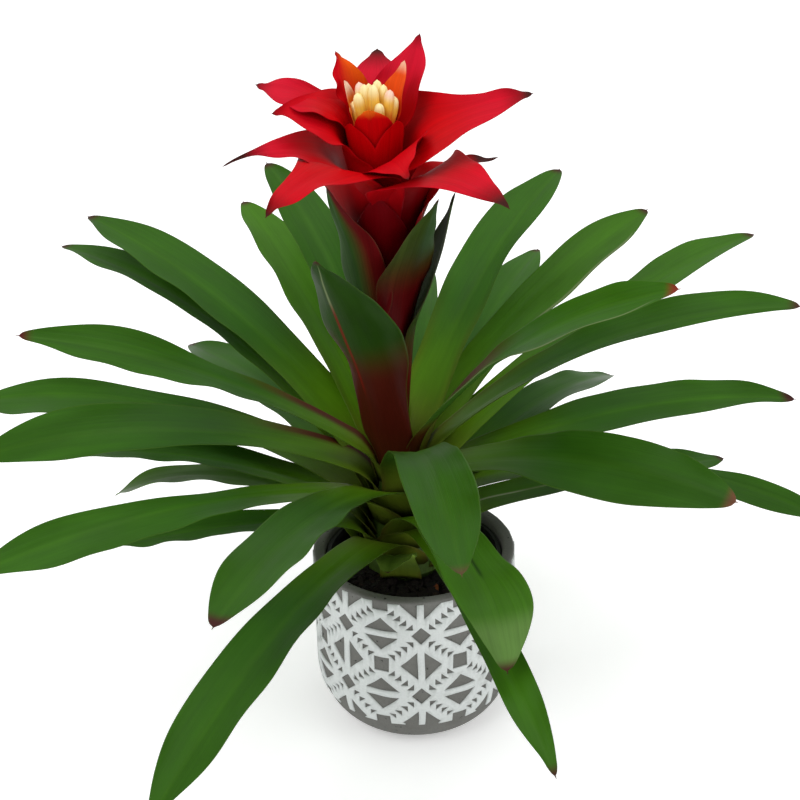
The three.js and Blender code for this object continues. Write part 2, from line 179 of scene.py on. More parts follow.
def layered(shape, base, layers):
    """A colour for each place of a grid: the base, with each layer mixed over it by its share there."""
    color = np.broadcast_to(base, (*shape, 3))
    for layer, share in layers:
        color = mix(color, layer, np.broadcast_to(share, shape))
    return color


def spline(knots, rows, at):
    """A smooth curve through rows of values at the given knots, read at other places."""
    slopes = np.gradient(rows, knots, axis=0)
    i = np.clip(np.searchsorted(knots, at) - 1, 0, len(knots) - 2)
    gap = (knots[i + 1] - knots[i])[:, None]
    t = ((at - knots[i]) / gap[:, 0])[:, None]
    return (
        rows[i] * (1 + 2 * t) * (1 - t) ** 2
        + slopes[i] * gap * t * (1 - t) ** 2
        + rows[i + 1] * t**2 * (3 - 2 * t)
        + slopes[i + 1] * gap * t**2 * (t - 1)
    )


# Meshes


def added(name, data):
    """An object in the scene with this mesh, light or camera."""
    made = bpy.data.objects.new(name, data)
    bpy.context.scene.collection.objects.link(made)
    return made


def new_object(name, points, faces, smooth_shaded=True):
    mesh = bpy.data.meshes.new(name)
    mesh.from_pydata([tuple(p) for p in points], [], faces)
    mesh.validate()
    mesh.polygons.foreach_set("use_smooth", [smooth_shaded] * len(mesh.polygons))
    return added(name, mesh)


def tube_faces(rings, count, first=0):
    """The four-sided faces between rings of count points each, from the point numbered first on."""
    faces = []
    for start in range(first, first + (rings - 1) * count, count):
        for k in range(count):
            n = start + (k + 1) % count
            faces.append((start + k, n, n + count, start + k + count))
    return faces


def store(obj, name, kind, values):
    """Keeps one vector or colour per point for the material to read."""
    values = np.asarray(values, np.float32)
    if kind == "FLOAT_COLOR" and values.shape[1] == 3:
        values = np.hstack([values, np.ones((len(values), 1), np.float32)])
    layer = obj.data.attributes.new(name, kind, "POINT")
    layer.data.foreach_set("color" if kind == "FLOAT_COLOR" else "vector", values.ravel())


def finish_piece(obj, nodes, material):
    """Ties a piece to the plant's one body, hides the nodes it stands for, and gives it its material."""
    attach(obj, "root")
    if nodes:
        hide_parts(*nodes)
    obj.data.materials.append(material)
    return obj


# Materials


def node(tree, kind, inputs=None, **settings):
    made = tree.nodes.new(kind)
    for name, value in settings.items():
        setattr(made, name, value)
    for name, value in (inputs or {}).items():
        if isinstance(value, bpy.types.NodeSocket):
            tree.links.new(value, made.inputs[name])
        else:
            made.inputs[name].default_value = value
    return made


def new_material(name, roughness, specular=0.5):
    material = bpy.data.materials.new(name)
    material.use_nodes = True
    tree = material.node_tree
    shader = tree.nodes["Principled BSDF"]
    shader.inputs["Roughness"].default_value = roughness
    shader.inputs["Specular IOR Level"].default_value = specular
    return material, tree, shader


def object_place(tree):
    return node(tree, "ShaderNodeTexCoord").outputs["Object"]


def attribute(tree, name):
    """What store kept under this name."""
    found = node(tree, "ShaderNodeAttribute", attribute_name=name)
    return found.outputs["Color"] if name.endswith("paint") else found.outputs["Vector"]


def noise(tree, vector, scale, detail=3.0, rough=0.55):
    """Noise whose grain is set separately along each axis, in cells per metre."""
    placed = node(tree, "ShaderNodeMapping", {"Vector": vector, "Scale": scale})
    inputs = {"Vector": placed.outputs[0], "Scale": 1.0, "Detail": detail, "Roughness": rough}
    return node(tree, "ShaderNodeTexNoise", inputs).outputs[0]


def between(tree, value, low, high, to_low, to_high):
    inputs = {"Value": value, "From Min": low, "From Max": high, "To Min": to_low, "To Max": to_high}
    return node(tree, "ShaderNodeMapRange", inputs).outputs[0]


def varied(tree, grain, low, high):
    """A noise spread from low to high. Most of a noise lies between 0.3 and 0.7."""
    return between(tree, grain, 0.3, 0.7, low, high)


def times(tree, a, b):
    return node(tree, "ShaderNodeMath", {0: a, 1: b}, operation="MULTIPLY").outputs[0]


def plus(tree, a, b):
    return node(tree, "ShaderNodeMath", {0: a, 1: b}, operation="ADD").outputs[0]


def scaled(tree, color, value):
    inputs = {"Vector": color, "Scale": value}
    return node(tree, "ShaderNodeVectorMath", inputs, operation="SCALE").outputs[0]


def mixed(tree, share, a, b):
    made = node(tree, "ShaderNodeMix", data_type="RGBA")
    for socket, value in ((made.inputs[0], share), (made.inputs[6], a), (made.inputs[7], b)):
        if isinstance(value, bpy.types.NodeSocket):
            tree.links.new(value, socket)
        else:
            socket.default_value = value
    return made.outputs[2]


def finish_surface(tree, shader, color, height, strength, distance):
    """Gives the shader its colour and a bump of this strength and depth."""
    tree.links.new(color, shader.inputs["Base Color"])
    made = node(tree, "ShaderNodeBump", {"Height": height, "Strength": strength, "Distance": distance})
    tree.links.new(made.outputs[0], shader.inputs["Normal"])


def blade_material(name, roughness, specular, veins, blotches, margin, margin_color):
    """Living tissue: the painted colour, broken up by fine veins along the blade and by soft blotches."""
    material, tree, shader = new_material(name, roughness, specular)
    paint = attribute(tree, "paint")
    grain = attribute(tree, "grain")
    place = attribute(tree, "place")
    fine = noise(tree, grain, (1500, 9, 60), 2.0)
    broad = noise(tree, grain, (420, 5, 60), 2.0)
    soft = noise(tree, grain, (55, 16, 60), 3.0)
    stripes = varied(tree, fine, 1 - veins, 1 + veins)
    bands = varied(tree, broad, 1 - veins * 0.9, 1 + veins * 0.9)
    patches = varied(tree, soft, 1 - blotches, 1 + blotches)
    shade = times(tree, times(tree, stripes, bands), patches)
    color = scaled(tree, paint, shade)
    across = node(tree, "ShaderNodeSeparateXYZ", {0: place}).outputs[0]
    edge = node(tree, "ShaderNodeMath", {0: across}, operation="ABSOLUTE").outputs[0]
    line = node(tree, "ShaderNodeSeparateXYZ", {0: attribute(tree, "line")}).outputs
    away = node(tree, "ShaderNodeMath", {0: line[0]}, operation="ABSOLUTE").outputs[0]
    drawn = times(tree, between(tree, away, 0.0, 1.0, 1.0, 0.0), line[1])
    color = mixed(tree, drawn, color, attribute(tree, "line_paint"))
    rim = between(tree, edge, 0.95, 1.0, 0.0, margin)
    color = mixed(tree, rim, color, margin_color)
    tree.links.new(varied(tree, soft, roughness - 0.06, roughness + 0.08), shader.inputs["Roughness"])
    finish_surface(tree, shader, color, plus(tree, fine, broad), 0.35, 0.00025)
    return material


def concrete_material():
    material, tree, shader = new_material("concrete", 0.85, 0.3)
    at = object_place(tree)
    grain = noise(tree, at, (900, 900, 900), 4.0)
    cloud = noise(tree, at, (45, 45, 60), 4.0)
    pits = noise(tree, at, (260, 260, 260), 2.0)
    color = mixed(tree, cloud, (0.10, 0.10, 0.090, 1), (0.19, 0.19, 0.178, 1))
    color = mixed(tree, between(tree, grain, 0.35, 0.7, 0, 0.35), color, (0.08, 0.08, 0.070, 1))
    holes = between(tree, pits, 0.68, 0.74, 0, 1)
    # The pits darkened with painted shade
    color = mixed(tree, holes, color, (0.03, 0.03, 0.027, 1))
    height = plus(tree, times(tree, grain, 0.5), times(tree, holes, -2.0))
    finish_surface(tree, shader, color, height, 0.5, 0.0004)
    return material


def paint_material():
    """Off-white paint on the raised pattern: brushed thin in places, so the grey shows through."""
    material, tree, shader = new_material("pattern_paint", 0.7, 0.35)
    at = object_place(tree)
    grain = noise(tree, at, (700, 700, 700), 4.0)
    cloud = noise(tree, at, (70, 70, 90), 5.0, 0.65)
    worn = between(tree, cloud, 0.58, 0.74, 0, 0.5)
    color = mixed(tree, grain, (0.50, 0.53, 0.52, 1), (0.66, 0.69, 0.68, 1))
    color = mixed(tree, worn, color, (0.36, 0.37, 0.34, 1))
    finish_surface(tree, shader, color, plus(tree, grain, cloud), 0.5, 0.0004)
    return material


def soil_material():
    material, tree, shader = new_material("mix", 0.95, 0.2)
    at = object_place(tree)
    crumbs = noise(tree, at, (350, 350, 350), 5.0, 0.7)
    # The mix's own dark colour, darkened nearly to black with painted shade inside the planter
    color = mixed(tree, crumbs, (0.001, 0.001, 0.001, 1), (0.008, 0.005, 0.003, 1))
    finish_surface(tree, shader, color, crumbs, 1.0, 0.003)
    return material


def stem_material():
    """The flower stalk: green below, deep red between the bracts, with fine ribs along it."""
    material, tree, shader = new_material("stalk", 0.5, 0.3)
    at = object_place(tree)
    ribs = noise(tree, at, (900, 900, 25), 3.0)
    height = node(tree, "ShaderNodeSeparateXYZ", {0: at}).outputs[2]
    redness = between(tree, height, 0.17, 0.27, 0, 1)
    color = mixed(tree, redness, (0.045, 0.085, 0.008, 1), (0.13, 0.002, 0.003, 1))
    color = scaled(tree, color, varied(tree, ribs, 0.8, 1.15))
    finish_surface(tree, shader, color, ribs, 0.4, 0.0004)
    return material


def bark_material():
    material, tree, shader = new_material("bark", 0.9, 0.25)
    at = object_place(tree)
    fibre = noise(tree, at, (500, 900, 700), 4.0)
    color = scaled(tree, attribute(tree, "paint"), varied(tree, fibre, 0.5, 1.4))
    finish_surface(tree, shader, color, fibre, 0.8, 0.0008)
    return material


def plastic_material():
    material, tree, shader = new_material("black_plastic", 0.5, 0.4)
    at = object_place(tree)
    grain = noise(tree, at, (800, 800, 300), 3.0)
    dust = noise(tree, at, (60, 60, 90), 4.0)
    dusty = between(tree, dust, 0.5, 0.8, 0, 0.5)
    color = mixed(tree, dusty, (0.006, 0.006, 0.006, 1), (0.03, 0.027, 0.022, 1))
    tree.links.new(varied(tree, dust, 0.4, 0.65), shader.inputs["Roughness"])
    finish_surface(tree, shader, color, grain, 0.2, 0.0002)
    return material


def petal_material():
    material, tree, shader = new_material("floret", 0.42, 0.45)
    fine = noise(tree, attribute(tree, "grain"), (1600, 60, 60), 2.0)
    color = scaled(tree, attribute(tree, "paint"), varied(tree, fine, 0.9, 1.08))
    finish_surface(tree, shader, color, fine, 0.25, 0.0002)
    return material


# Blades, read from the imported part


def cad_sections(name):
    """A blade's cross-sections in the part, base first, as an array (sections, points, 3), and its tip.

    Each section runs round the blade: five points over its upper face, from the margin on the left seen
    from the plant's axis, then three under it."""
    work = bmesh.new()
    work.from_mesh(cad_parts[name].data)
    bmesh.ops.remove_doubles(work, verts=work.verts, dist=WELD_DISTANCE)
    links = {v: {e.other_vert(v) for e in v.link_edges} for v in work.verts}
    to_plant = PLANT_FRAME.inverted()
    local = {v: to_plant @ v.co for v in work.verts}
    count = SECTION_POINTS
    # The tip joins every point of the last section. Of the vertices like that, it lies farthest out
    tips = [v for v in work.verts if len(links[v]) == count and len(v.link_faces) == count]
    tip = max(tips, key=lambda v: local[v].xy.length + abs(local[v].z) / 4)
    ring = [next(iter(links[tip]))]
    while len(ring) < count:
        ring.append(next(v for v in links[ring[-1]] if v in links[tip] and v not in ring))
    # Each section down the blade is what the one above it joins to, in step with it from the margin
    rings, seen, margin = [ring], {tip, *ring}, 0
    while True:
        below = {}
        for j, upper in enumerate(ring):
            for v in links[upper] - seen:
                below.setdefault(v, set()).add(j)
        if len(below) != count:
            break
        (margin,) = min(below.values(), key=len)
        ring = [None] * count
        for v, uppers in below.items():
            ring[max(uppers, key=lambda j: min((j - margin) % count, (margin - j) % count))] = v
        rings.append(ring)
        seen.update(ring)
    rings = [r[margin:] + r[:margin] for r in reversed(rings)]
    base = rings[0]
    if local[base[6]].xy.length < local[base[2]].xy.length:
        rings = [[r[0]] + r[:0:-1] for r in rings]
    points = np.array([[v.co for v in r] for r in rings])
    tip_point = np.array(tip.co)
    work.free()
    return points, tip_point


def turned_about(vectors, axis, angle):
    """Vectors (along, across, 3) turned about one unit axis per row by one angle per row."""
    axis = axis[:, None]
    c, s = np.cos(angle)[:, None, None], np.sin(angle)[:, None, None]
    along = np.sum(vectors * axis, axis=2, keepdims=True)
    return vectors * c + np.cross(axis, vectors) * s + axis * along * (1 - c)


def clasped(line, u, reach):
    """Rows of points that run round the plant's axis through a middle line, lower towards their ends."""
    turn = np.array(PLANT_FRAME.to_3x3())
    x, y, z = ((line - np.array(PLANT_FOOT)) @ turn).T
    angle = np.arctan2(y, x)[:, None] + u[None] * reach[:, None]
    away = np.hypot(x, y)[:, None] * (1 - 0.03 * u[None] ** 2)
    rows = np.stack([away * np.cos(angle), away * np.sin(angle), z[:, None] - 0.005 * u[None] ** 2], -1)
    return rows @ turn.T + np.array(PLANT_FOOT)


def across_weights(u):
    """How much each of the five points over the upper face counts at the places u across it."""
    stations = np.array([1, 0.5, 0, -0.5, -1])
    weights = np.ones((len(u), 5))
    for k in range(5):
        for m in range(5):
            if m != k:
                weights[:, k] *= (u - stations[m]) / (stations[k] - stations[m])
    return weights


def waved(grid, u, share, wave, crease, seed):
    """A grid whose margins ripple by about wave, with a groove as deep as crease along its middle."""
    normals = grid_normals(grid)
    rng = np.random.default_rng(seed)
    phase = rng.uniform(0, 2 * math.pi, 4)
    turns = rng.uniform(0.8, 1.25, 4)
    ripple = np.zeros((ALONG, len(u)))
    for k, (cycles, size) in enumerate(RIPPLES):
        side = np.abs(u) ** 2.2 * (u > 0) if k % 2 else np.abs(u) ** 2.2 * (u < 0)
        along = np.sin(cycles * turns[k] * 2 * math.pi * share + phase[k]) * size
        ripple += along[:, None] * side[None]
    ripple *= wave * (smooth(share, 0.25, 0.5) * (1 - smooth(share, 0.94, 1)))[:, None]
    folded = smooth(share, 0.1, 0.3) * (1 - smooth(share, 0.85, 1))
    fold = -crease * np.exp(-((u / 0.13) ** 2))[None] * folded[:, None]
    return grid + normals * (ripple + fold)[..., None]


def blade_surface(
    name, wave, crease, seed, widen=(), roll=0.0, swing=0.0, shift=(0, 0, 0), sheath=0.0, flat=0.0
):
    """The upper face of a blade as a fine grid (along, across, 3), with the shares across and along.

    widen lists (side, amount, centre, spread): which margin moves out, or in for an amount below 0, by what
    share, and where along the blade; side 0 is both. roll turns its outer part about its own middle line,
    and swing its middle part about the plant's axis, in degrees. shift moves its outer end, in millimetres.
    sheath is how far the base reaches round the plant each way, in radians. flat takes out that share of
    its hollow."""
    sections, tip = cad_sections(name)
    middle = np.vstack([sections[:, 2], tip])
    knots = np.concatenate([[0], np.cumsum(np.linalg.norm(np.diff(middle, axis=0), axis=1))])
    length = knots[-1]
    width = np.linalg.norm(sections[:, 0] - sections[:, 4], axis=1)
    shape = (sections[:, :5] - sections[:, 2:3]) / width[:, None, None]
    shape = np.concatenate([shape, shape[-1:]])
    squares = np.append(width**2, 0)
    share = np.linspace(0, 1, ALONG) ** BASE_CROWD
    share = 1 - (1 - share) ** TIP_CROWD
    at = share * length
    body = np.minimum(at / BODY_END, length)
    line = spline(knots, middle, at)
    outline = np.sqrt(np.maximum(spline(knots, squares[:, None], body)[:, 0], 0))
    mucro = MUCRO_WIDTH * np.clip((1 - share) / (1 - BODY_END + 0.02), 0, 1) * smooth(share, 0.8, 0.95)
    wide = np.sqrt(outline**2 + mucro**2)
    forms = spline(knots, shape.reshape(len(shape), -1), body).reshape(ALONG, 5, 3)
    bend = math.pi / 2 * MARGIN_CROWD
    u = np.sin(np.linspace(-1, 1, ACROSS + 1) * bend) / math.sin(bend)
    across = np.einsum("uk,akc->auc", across_weights(u), forms) * wide[:, None, None]
    tangent = np.gradient(line, axis=0)
    tangent /= np.linalg.norm(tangent, axis=1, keepdims=True)
    if flat:
        up = np.cross(tangent, across[:, 0] - across[:, -1])
        up /= np.maximum(np.linalg.norm(up, axis=1, keepdims=True), 1e-12)
        hollow = np.einsum("auc,ac->au", across, up) * flat * smooth(share, 0.25, 0.55)[:, None]
        across = across - hollow[..., None] * up[:, None]
    for side, amount, centre, spread in widen:
        grown = amount * np.exp(-(((share - centre) / spread) ** 2))
        reach = np.ones(len(u)) if side == 0 else smooth(side * u, -0.15, 0.15)
        across = across * (1 + grown[:, None] * reach)[..., None]
    if roll:
        across = turned_about(across, tangent, math.radians(roll) * smooth(share, 0.4, 0.68))
    grid = line[:, None] + across
    if sheath:
        reach = sheath * (1 - 0.6 * smooth(at, 0, SHEATH_TO))
        grid = mix(clasped(line, u, reach), grid, smooth(at, SHEATH_FROM, SHEATH_TO)[:, None])
    grid = grid + np.array(shift) / 1000 * smooth(share, 0.05, 0.9)[:, None, None]
    if swing:
        foot = np.array(PLANT_FOOT)
        axis = np.broadcast_to(np.array(PLANT_FRAME.col[2].xyz), line.shape)
        angle = math.radians(swing) * smooth(share, 0.0, 0.15) * (1 - smooth(share, 0.7, 1.0))
        grid = foot + turned_about(grid - foot, axis, angle)
    return waved(grid, u, share, wave, crease, seed), u, share, wide, length


def grid_normals(grid):
    """Unit normals of a grid of points, on the side that the blade turns to the sky."""
    along = np.gradient(grid, axis=0)
    across = np.gradient(grid, axis=1)
    normals = np.cross(along, across)
    size = np.linalg.norm(normals, axis=2, keepdims=True)
    return normals / np.maximum(size, 1e-12)


def blade(name, node_name, thickness, wave, crease, seed, paint):
    """One leaf or bract that stands for a node of the part."""
    form = dict(RESHAPED.get(node_name, shaping()))
    if node_name.startswith("leaf"):
        form.setdefault("sheath", SHEATH_REACH * (1 + 0.15 * math.sin(seed * 2.4)))
        ends = [(0, NECK_WIDEN, 0.15, 0.13), (0, TIP_NARROW, 0.97, 0.09)]
        form["widen"] = ends + form["widen"]
    surface = blade_surface(node_name, wave, crease, seed, **form)
    return sheet(name, *surface, thickness, seed, paint, LINES.get(node_name))


def sheet(name, grid, u, share, wide, length, thickness, seed, paint, line=None):
    """A thin blade under a grid of points: two faces joined round the margin. paint(u, v, under) gives its
    colours, and line the thin line along it."""
    normals = grid_normals(grid)
    edge = 1 - 0.75 * np.abs(u) ** 5
    end = 1 - 0.7 * smooth(share, 0.75, 1)
    deep = thickness * end[:, None] * edge[None]
    under = grid - normals * deep[..., None]
    rows = np.concatenate([grid, under[:, ::-1]], axis=1)
    count = rows.shape[1]
    faces = [(a, d, c, b) for a, b, c, d in tube_faces(ALONG, count)]
    faces.append(tuple(range(count)))
    faces.append(tuple(range(ALONG * count - 1, (ALONG - 1) * count - 1, -1)))
    made = new_object(name, rows.reshape(-1, 3), faces)
    us = np.concatenate([u, u[::-1]])
    across = np.broadcast_to(us, (ALONG, count))
    along = np.broadcast_to(share[:, None], (ALONG, count))
    lower = np.broadcast_to(np.repeat([0.0, 1.0], len(u)), (ALONG, count))
    half = np.maximum(wide, np.max(wide) * 0.5)[:, None] / 2
    store(made, "paint", "FLOAT_COLOR", paint(across, along, lower).reshape(-1, 3))
    grain = np.stack([across * half, along * length, np.full(across.shape, seed * 0.37)], -1)
    store(made, "grain", "FLOAT_VECTOR", grain.reshape(-1, 3))
    store(made, "place", "FLOAT_VECTOR", np.stack([across, along, lower], -1).reshape(-1, 3))
    place, reach, low, high, strength, outer, inner, change = line or NO_LINE
    shown = strength * smooth(along, low, low + 0.08) * (1 - smooth(along, high - 0.05, high))
    away = (across - place * (1 - 0.5 * smooth(along, 0.85, 1.0))) / reach
    store(made, "line", "FLOAT_VECTOR", np.stack([away, shown, lower], -1).reshape(-1, 3))
    line_paint = mix(inner, outer, smooth(along, change - 0.04, change + 0.04))
    store(made, "line_paint", "FLOAT_COLOR", line_paint.reshape(-1, 3))
    return made


def shaping(*widen, **others):
    """The words of one blade for blade_surface."""
    return {"widen": list(widen), **others}


# Blades whose margins, roll, place or hollow the photo shows otherwise than the part's plain outline.
# blade_surface says what each word does
RESHAPED = {
    "leaf_01": shaping((0, -0.3, 0.9, 0.25), shift=(0, 0, 5), sheath=0.5),
    "leaf_02": shaping((0, 0.35, 0.93, 0.1), shift=(0, 0, 3), sheath=0.8),
    "leaf_08": shaping((-1, -0.65, 0.85, 0.3), shift=(-3, 0, 0)),
    "leaf_09": shaping(shift=(2, 0, 0)),
    "leaf_10": shaping((1, -0.3, 0.6, 0.3)),
    "leaf_12": shaping((1, -0.1, 0.6, 0.2), (1, 0.5, 0.88, 0.16)),
    "leaf_13": shaping((-1, -0.4, 0.6, 0.3), (1, 0.4, 0.85, 0.2)),
    "leaf_14": shaping((1, -0.75, 0.6, 0.35), (-1, -0.2, 0.9, 0.2)),
    "leaf_16": shaping((-1, -0.55, 0.5, 0.35), shift=(0, 0, -2)),
    "leaf_17": shaping(
        (0, -0.15, 0.75, 0.2), (-1, -0.5, 0.92, 0.14), (-1, 0.3, 0.5, 0.2),
        shift=(-2, 0, 2),
    ),
    "leaf_18": shaping((1, -0.4, 0.65, 0.3), shift=(0, 0, 3)),
    "leaf_19": shaping((0, -0.1, 0.7, 0.35)),
    "leaf_20": shaping((1, -0.35, 0.58, 0.2), (1, 0.35, 0.86, 0.13), shift=(0, 0, 3)),
    "leaf_22": shaping((1, -0.2, 0.8, 0.2), (-1, 0.35, 0.55, 0.2)),
    "leaf_23": shaping(shift=(0, 0, 1)),
    "leaf_24": shaping((1, -0.3, 0.55, 0.3), shift=(0, 0, 2)),
    "leaf_26": shaping((1, -0.25, 0.75, 0.25), (-1, 0.3, 0.5, 0.3)),
    "leaf_27": shaping((-1, -0.6, 0.74, 0.25)),
    "leaf_28": shaping((-1, -0.45, 0.5, 0.25), (0, -0.3, 0.92, 0.12), shift=(3, 0, 2)),
    "leaf_29": shaping((1, 0.15, 0.6, 0.3), (-1, -0.35, 0.65, 0.25), shift=(2, 0, 1)),
    "leaf_30": shaping((1, -0.8, 1.02, 0.27), (-1, -0.5, 1.0, 0.22), (1, 0.3, 0.48, 0.2), sheath=0.9),
    "leaf_31": shaping((1, -0.05, 0.8, 0.3)),
    "leaf_32": shaping((1, -0.2, 0.7, 0.3), shift=(-5, 0, 0)),
    "stalk_bract_1": shaping((0, 0.6, 0.6, 0.3), shift=(2, 0, 5.5)),
    "stalk_bract_2": shaping(
        (1, 0.8, 0.86, 0.15), (0, 0.3, 0.55, 0.2), (-1, -0.35, 0.4, 0.2),
        (1, -0.85, 0.25, 0.2), swing=14,
    ),
    "stalk_bract_4": shaping((0, 0.25, 0.5, 0.25), (-1, 0.35, 0.7, 0.22), flat=0.5),
    "red_bract_01": shaping((0, 0.9, 0.35, 0.2)),
    "red_bract_02": shaping(
        (0, 0.4, 0.58, 0.17), (1, 1.4, 0.35, 0.16), (-1, 0.35, 0.65, 0.15),
        shift=(-1.5, 0, 5.5), flat=0.5,
    ),
    "red_bract_03": shaping(
        (0, 0.5, 0.45, 0.25), (-1, 0.3, 0.4, 0.16), (-1, -0.35, 0.75, 0.14),
        roll=-7, shift=(0, 0, 2), flat=0.4,
    ),
    "red_bract_04": shaping((0, 0.9, 0.92, 0.12), (0, 0.4, 0.7, 0.2)),
    "red_bract_05": shaping(
        (0, 0.4, 0.52, 0.15), (0, -0.78, 0.91, 0.19), (1, 0.7, 0.45, 0.15),
        (-1, 0.6, 0.38, 0.16), roll=-12, shift=(-1, 0, -2),
    ),
    "red_bract_06": shaping((0, 0.3, 0.62, 0.15), (1, 0.35, 0.6, 0.2), roll=26),
    "red_bract_07": shaping(
        (-1, 0.85, 0.48, 0.18), (1, 1.3, 0.48, 0.16), (1, -0.55, 0.78, 0.16),
        roll=14, flat=0.3,
    ),
    "red_bract_08": shaping(
        (0, 0.7, 0.74, 0.14), (-1, 0.7, 0.5, 0.22), (1, 0.6, 0.36, 0.16),
        roll=-20, shift=(2, 0, 1.5),
    ),
    "red_bract_09": shaping((0, 0.25, 0.7, 0.18), (-1, -0.55, 0.46, 0.22), shift=(-1.5, 0, 0)),
    "red_bract_10": shaping(
        (1, 0.45, 0.72, 0.15), (1, -0.55, 0.42, 0.17), (-1, 0.5, 0.42, 0.16),
        (-1, -0.35, 0.75, 0.17), (0, 0.7, 0.92, 0.08), roll=-4, shift=(4, 0, 4), flat=0.5,
    ),
    "red_bract_11": shaping(
        (0, 0.25, 0.8, 0.14), (0, -0.25, 0.5, 0.2), (1, -0.5, 0.58, 0.2),
        shift=(-3.5, 0, -2),
    ),
    "crown_bract_1": shaping((0, 0.9, 0.95, 0.12), (0, 0.25, 0.5, 0.3)),
    "crown_bract_2": shaping((0, 0.9, 0.88, 0.2), shift=(1, 0, -3)),
    "crown_bract_3": shaping((0, 0.5, 0.8, 0.2), shift=(0, 0, -1)),
}

# Colours of the plant and of the chips, in linear light

LEAF_GREEN = (0.022, 0.090, 0.003)
LEAF_LIGHT = (0.046, 0.142, 0.005)
LEAF_DEEP = (0.011, 0.050, 0.002)
LEAF_BRIGHT = (0.082, 0.200, 0.002)
SHEATH_EDGE = (0.10, 0.06, 0.02)
# painted shade at the foot of the sheaths, where they meet the mix
SHEATH_FOOT_SHADE = (0.020, 0.022, 0.004)
LEAF_BASE = (0.150, 0.210, 0.015)
LEAF_UNDER = (0.038, 0.105, 0.014)
MAROON = (0.070, 0.004, 0.004)
LEAF_RED = (0.060, 0.003, 0.003)
PALE_LINE = (0.16, 0.20, 0.09)
PALER_LINE = (0.42, 0.46, 0.30)
RED_LINE = (0.16, 0.004, 0.002)
CREASE_SHADE = (0.005, 0.020, 0.001)
FOLD_HIGHLIGHT = (0.12, 0.21, 0.06)
BROWN_TIP = (0.08, 0.04, 0.02)
ROSY_TIP = (0.18, 0.02, 0.012)
DEAD_TIP = (0.045, 0.010, 0.008)
PINK_TIP = (0.13, 0.05, 0.025)
BRACT_RED = (0.45, 0.0002, 0.002)
BRACT_PINK_SHEEN = (0.49, 0.006, 0.022)
BRACT_DEEP = (0.12, 0.000, 0.002)
BRACT_ORANGE = (0.70, 0.085, 0.004)
BRACT_UNDER = (0.34, 0.002, 0.006)
RIM_ORANGE = (0.66, 0.06, 0.004)
PALE_TIP = (0.85, 0.62, 0.45)
STALK_RED = (0.085, 0.002, 0.003)
STALK_GREEN = (0.018, 0.050, 0.008)
FLORET_ORANGE = (0.76, 0.17, 0.010)
FLORET_YELLOW = (0.84, 0.48, 0.05)
FLORET_CREAM = (0.88, 0.74, 0.36)
GROOVE_SHADE = (0.55, 0.42, 0.10)
FLORET_PINK = (0.85, 0.55, 0.42)
GRAIN_WHITE = (0.7, 0.68, 0.62)
# The bark's browns: the first three darkened nearly to black with painted shade inside the planter, the last
# its own orange-brown
CHIP_BROWNS = ((0.007, 0.004, 0.003), (0.004, 0.003, 0.002), (0.016, 0.008, 0.004), (0.16, 0.045, 0.010))

# Leaves whose tips or bases differ: how far the dark tip reaches, its colour, and how red the base is
LEAF_TIPS = {
    "leaf_14": (0.97, MAROON),
    "leaf_17": (0.965, DEAD_TIP),
    "leaf_19": (0.965, DEAD_TIP),
    "leaf_22": (0.972, PINK_TIP),
    "leaf_25": (0.982, BROWN_TIP),
    "leaf_28": (0.975, MAROON),
    "leaf_32": (0.972, ROSY_TIP),
}
RED_BASES = {"leaf_31": 0.6, "leaf_29": 0.25, "leaf_27": 0.3, "leaf_26": 0.2}
BRIGHT_LEAVES = {
    "leaf_01": 0.9, "leaf_09": 0.3, "leaf_12": 0.5, "leaf_20": 0.3, "leaf_24": 0.6, "leaf_26": 0.8
}

# Red stretches of a leaf: the margin it lies along (0 for the whole width), how far in it reaches as a
# share across, and where along the leaf it starts to fade and ends
RED_STRETCHES = {
    "leaf_30": [(0, 2.0, 0.38, 0.56), (-1, 0.5, 0.42, 0.64)],
    "leaf_32": [(1, 0.9, 0.3, 0.56), (0, 2.0, 0.12, 0.22)],
    "leaf_28": [(-1, 0.55, 0.25, 0.5)],
    "leaf_23": [(-1, 0.5, 0.2, 0.4)],
}

# The thin line along a leaf: where across, half its width, from and to along it, how strong, its colours
# near the tip and near the base, and where along the leaf they meet
LINES = {
    # leaf_30: a painted highlight along its fold towards the tip, the leaf's own red nearer the base
    "leaf_30": (-0.35, 0.07, 0.30, 0.985, 1.0, PALE_LINE, RED_LINE, 0.72),
    "leaf_32": (-0.95, 0.08, 0.25, 0.95, 0.8, PALE_LINE, PALE_LINE, 0.5),
    "leaf_24": (-0.93, 0.08, 0.3, 0.9, 0.8, PALE_LINE, PALE_LINE, 0.5),
    "leaf_03": (0.0, 0.10, 0.1, 0.6, 0.9, PALE_LINE, PALER_LINE, 0.3),
    # leaf_12: painted shadow in its midrib crease
    "leaf_12": (0.12, 0.09, 0.25, 0.74, 0.85, CREASE_SHADE, CREASE_SHADE, 0.5),
}
NO_LINE = (0, 1, 0, 1, 0, CREASE_SHADE, CREASE_SHADE, 0.5)

# Leaves whose folded-down end is paler with a painted highlight: where along the leaf that starts
HIGHLIGHTED_ENDS = {"leaf_12": 0.84}

# Leaves whose green differs: the colour it leans to, and how far
DARK_GREEN = (0.009, 0.032, 0.001)
LEAF_TINTS = {
    "leaf_01": ((0.13, 0.20, 0.03), 0.8),
    "leaf_02": ((0.09, 0.19, 0.02), 0.5),
    "leaf_14": (DARK_GREEN, 0.3),
    "leaf_19": (DARK_GREEN, 0.3),
    "leaf_22": (DARK_GREEN, 0.3),
    "leaf_25": (DARK_GREEN, 0.35),
    "leaf_30": (DARK_GREEN, 0.85),
}


